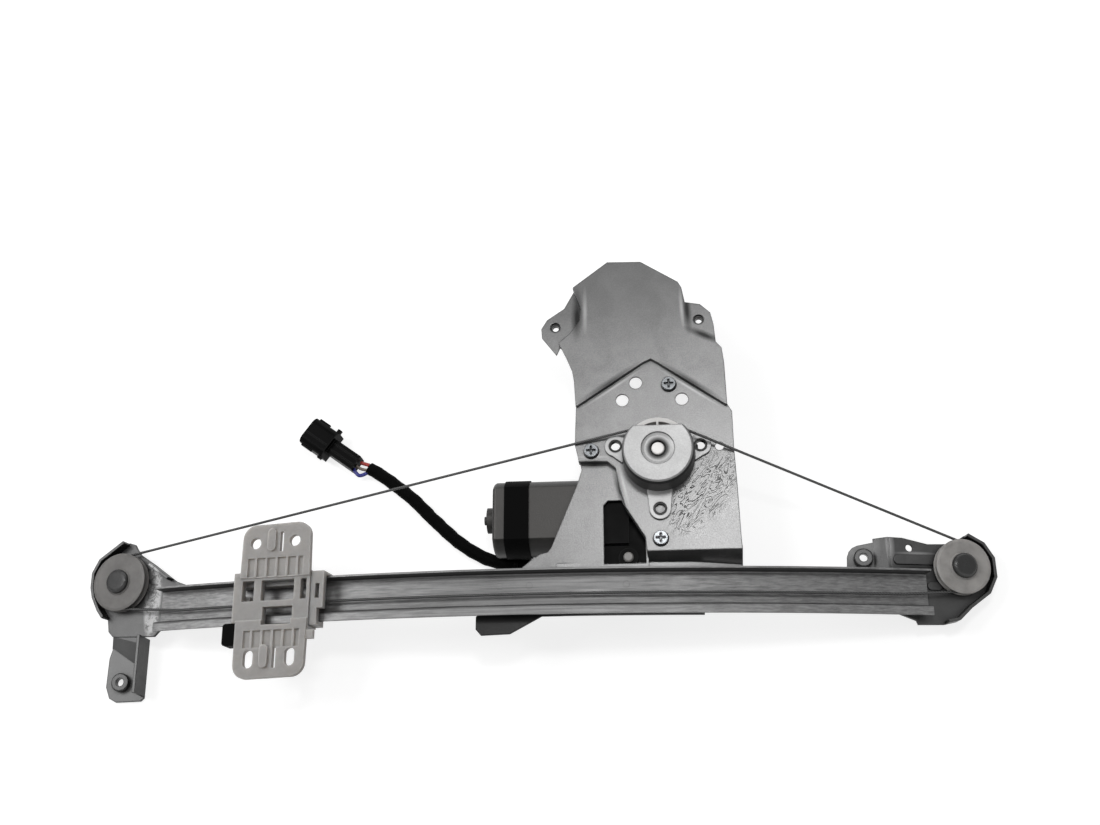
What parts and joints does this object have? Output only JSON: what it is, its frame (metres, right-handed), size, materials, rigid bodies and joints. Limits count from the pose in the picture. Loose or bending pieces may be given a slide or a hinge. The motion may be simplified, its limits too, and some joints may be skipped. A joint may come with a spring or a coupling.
{
  "type": "window regulator",
  "caption": "Cable window regulator: bowed guide rail, glass slider, rope, two pulleys, drum and geared motor on a pressed plate, with a wired plug.",
  "frame": {"origin": "bottom centre of the object's box, without the free harness, lying on its back", "axes": "+X along the rail from the foot end to the ear end, +Y from the rail to the plate's top, +Z away from the surface, out of the drum cover's face"},
  "size_m": [0.567, 0.267, 0.0645],
  "materials": {
    "rail_steel": "galvanised, brushed along the rail",
    "bracket_steel": "galvanised pressed sheet",
    "plate_steel": "galvanised pressed sheet, satin",
    "cover_steel": "pressed, galvanised and speckled",
    "eyelet_steel": "dull steel",
    "white_pom": "natural white moulding, satin",
    "rope_steel": "stranded galvanised rope",
    "shaft_steel": "turned",
    "gear_plastic": "moulded gear",
    "yoke_steel": "drawn, zinc plated",
    "black_plastic": "black moulded",
    "bronze": "sintered",
    "magnet": "ferrite",
    "core_steel": "laminated",
    "copper_wire": "copper",
    "carbon": "carbon",
    "zinc_steel": "bright zinc",
    "rivet_steel": "satin",
    "black_rubber": "matt",
    "sleeve_plastic": "wound tape",
    "wire_red": "insulation",
    "wire_blue": "insulation",
    "terminal_brass": "tinned"
  },
  "bodies": {
    "frame": {"guide_rail": "rail_steel", "left_pulley_bracket": "bracket_steel", "right_pulley_bracket": "bracket_steel", "motor_plate": "plate_steel", "drum_cover": "cover_steel", "cover_eyelets": "eyelet_steel", "motor_yoke": "yoke_steel", "yoke_band": "black_plastic", "end_bearing": "bronze", "field_magnets": "magnet", "brush_holder": "black_plastic", "motor_brushes": "carbon", "gearbox_housing": "black_plastic", "gearbox_cover": "black_plastic", "gearbox_pin": "eyelet_steel", "motor_screws": "zinc_steel", "rail_rivets": "rail_steel", "pulley_rivets": "rivet_steel", "bracket_nuts": "zinc_steel", "plate_nuts": "zinc_steel", "left_rope": "rope_steel", "right_rope": "rope_steel", "harness_sleeve": "sleeve_plastic", "wire_red": "wire_red", "wire_blue": "wire_blue", "plug_housing": "black_plastic", "plug_terminals": "terminal_brass", "harness_grommet": "black_rubber"},
    "armature": {"armature_shaft": "shaft_steel", "armature_core": "core_steel", "armature_windings": "copper_wire", "commutator": "copper_wire", "worm": "shaft_steel"},
    "drum": {"output_shaft": "shaft_steel", "worm_wheel": "gear_plastic", "cable_drum": "white_pom", "drum_rope_turns": "rope_steel", "hub_plug": "white_pom"},
    "left_wheel": {"left_pulley": "white_pom"},
    "right_wheel": {"right_pulley": "white_pom"},
    "slider": {"glass_slider": "white_pom", "slider_shoe": "white_pom", "slider_bumper": "black_rubber", "rope_nipples": "zinc_steel"}
  },
  "joints": [
    {"name": "motor_spin", "type": "hinge", "parent": "frame", "child": "armature", "pos_m": [0.03, -0.0273, 0.02], "axis": [1, 0, 0], "range_deg": [-9582, 74859]},
    {"name": "drum_spin", "type": "hinge", "parent": "frame", "child": "drum", "pos_m": [0.0834, 0.003, 0.03], "axis": [0, 0, 1], "range_deg": [-131.28, 1025.49]},
    {"name": "left_pulley_spin", "type": "hinge", "parent": "frame", "child": "left_wheel", "pos_m": [-0.26081, -0.0594, 0.00758], "axis": [-0.2124, 0, 0.9772], "range_deg": [-151.05, 1179.92]},
    {"name": "right_pulley_spin", "type": "hinge", "parent": "frame", "child": "right_wheel", "pos_m": [0.26161, -0.0626, 0.00918], "axis": [0.2114, 0, 0.9774], "range_deg": [-169.42, 1323.43]},
    {"name": "slider_travel", "type": "hinge", "parent": "frame", "child": "slider", "pos_m": [0.004, -0.08, -1.008], "axis": [0, 1, 0], "range_deg": [-2.4, 18.6]}
  ],
  "couplings": [
    {"joint": "drum_spin", "follows": "motor_spin", "ratio": 0.013699},
    {"joint": "left_pulley_spin", "follows": "motor_spin", "ratio": 0.015762},
    {"joint": "right_pulley_spin", "follows": "motor_spin", "ratio": 0.017679},
    {"joint": "slider_travel", "follows": "motor_spin", "ratio": 0.00024824}
  ]
}
